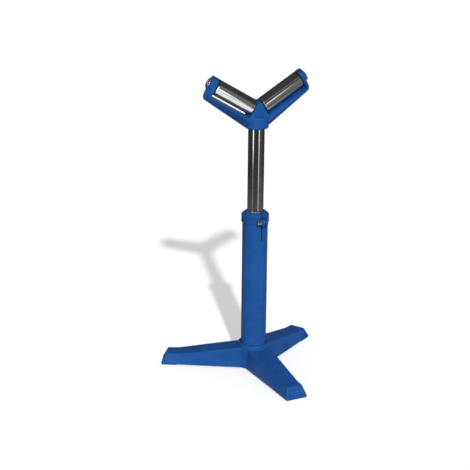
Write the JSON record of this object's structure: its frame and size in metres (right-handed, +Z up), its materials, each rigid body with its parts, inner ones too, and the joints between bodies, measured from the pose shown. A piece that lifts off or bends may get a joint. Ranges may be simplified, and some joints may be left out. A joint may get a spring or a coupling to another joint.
{
  "type": "roller stand",
  "caption": "Floor stand with a three-legged base, a height-adjustable clamped mast and a V head whose inclined rollers let round work turn or roll along.",
  "frame": {"origin": "on the floor, under the middle of the stand's outline", "axes": "+Z up along the column; the rollers rise towards -X and +X and the work lies along Y; one leg points to -Y"},
  "size_m": [0.519, 0.4507, 0.9074],
  "materials": {
    "blue_paint": "satin enamel over cast iron and steel tube",
    "bright_steel": "turned and drawn bright",
    "machined_steel": "machined",
    "black_steel": "black oxide",
    "brown_plastic": "moulded"
  },
  "bodies": {
    "stand": {"base_casting": "blue_paint", "column_tube": "blue_paint", "column_lower_set_screw": "black_steel", "column_upper_set_screw": "black_steel", "column_bush": "machined_steel", "column_wiper": "bright_steel", "clamp_collar": "blue_paint", "clamp_nut": "machined_steel"},
    "mast_guide": {"mast_guide_ring": "brown_plastic"},
    "mast": {"mast_tube": "bright_steel", "mast_lower_retaining_ring": "black_steel", "mast_upper_retaining_ring": "black_steel", "yoke_casting": "blue_paint", "yoke_set_screw": "black_steel", "left_axle": "bright_steel", "left_distance_sleeve": "machined_steel", "left_lower_spacer": "machined_steel", "left_upper_spacer": "machined_steel", "left_axle_screw": "black_steel", "left_lower_bearing_inner_ring": "machined_steel", "left_upper_bearing_inner_ring": "machined_steel", "right_axle": "bright_steel", "right_distance_sleeve": "machined_steel", "right_lower_spacer": "machined_steel", "right_upper_spacer": "machined_steel", "right_axle_screw": "black_steel", "right_lower_bearing_inner_ring": "machined_steel", "right_upper_bearing_inner_ring": "machined_steel"},
    "clamp_washer": {"clamp_washer": "machined_steel"},
    "clamp_screw": {"clamp_screw": "machined_steel"},
    "left_roller": {"left_roller_tube": "bright_steel", "left_lower_bearing_outer_ring": "machined_steel", "left_lower_bearing_end_shield": "black_steel", "left_lower_bearing_mid_shield": "black_steel", "left_upper_bearing_outer_ring": "machined_steel", "left_upper_bearing_end_shield": "black_steel", "left_upper_bearing_mid_shield": "black_steel"},
    "left_ball_cages": {"left_lower_bearing_ball_cage": "brown_plastic", "left_upper_bearing_ball_cage": "brown_plastic"},
    "right_roller": {"right_roller_tube": "bright_steel", "right_lower_bearing_outer_ring": "machined_steel", "right_lower_bearing_end_shield": "black_steel", "right_lower_bearing_mid_shield": "black_steel", "right_upper_bearing_outer_ring": "machined_steel", "right_upper_bearing_end_shield": "black_steel", "right_upper_bearing_mid_shield": "black_steel"},
    "right_ball_cages": {"right_lower_bearing_ball_cage": "brown_plastic", "right_upper_bearing_ball_cage": "brown_plastic"}
  },
  "joints": [
    {"name": "mast_height", "type": "slide", "parent": "stand", "child": "mast_guide", "axis": [0, 0, 1], "range_m": [-0.245, 0.133]},
    {"name": "mast_swivel", "type": "hinge", "parent": "mast_guide", "child": "mast", "pos_m": [0, 0.05614, 0.5], "axis": [0, 0, 1], "continuous": true},
    {"name": "clamp_screw_travel", "type": "slide", "parent": "stand", "child": "clamp_washer", "axis": [-0.9962, -0.0872, 0], "range_m": [0, 0.0026]},
    {"name": "clamp_screw_turn", "type": "hinge", "parent": "clamp_washer", "child": "clamp_screw", "pos_m": [0.00414, 0.00882, 0.47], "axis": [-0.9962, -0.0872, 0], "range_deg": [0, 720]},
    {"name": "left_roller_spin", "type": "hinge", "parent": "mast", "child": "left_roller", "pos_m": [0, 0.05614, 0.7976], "axis": [-0.8616, 0, 0.5075], "continuous": true},
    {"name": "left_ball_cages_spin", "type": "hinge", "parent": "mast", "child": "left_ball_cages", "pos_m": [0, 0.05614, 0.7976], "axis": [-0.8616, 0, 0.5075], "continuous": true},
    {"name": "right_roller_spin", "type": "hinge", "parent": "mast", "child": "right_roller", "pos_m": [0, 0.05614, 0.7976], "axis": [0.8616, 0, 0.5075], "continuous": true},
    {"name": "right_ball_cages_spin", "type": "hinge", "parent": "mast", "child": "right_ball_cages", "pos_m": [0, 0.05614, 0.7976], "axis": [0.8616, 0, 0.5075], "continuous": true}
  ],
  "couplings": [
    {"joint": "clamp_screw_travel", "follows": "clamp_screw_turn", "m_per_rad": 0.00019894},
    {"joint": "left_ball_cages_spin", "follows": "left_roller_spin", "ratio": 0.618},
    {"joint": "right_ball_cages_spin", "follows": "right_roller_spin", "ratio": 0.618}
  ]
}
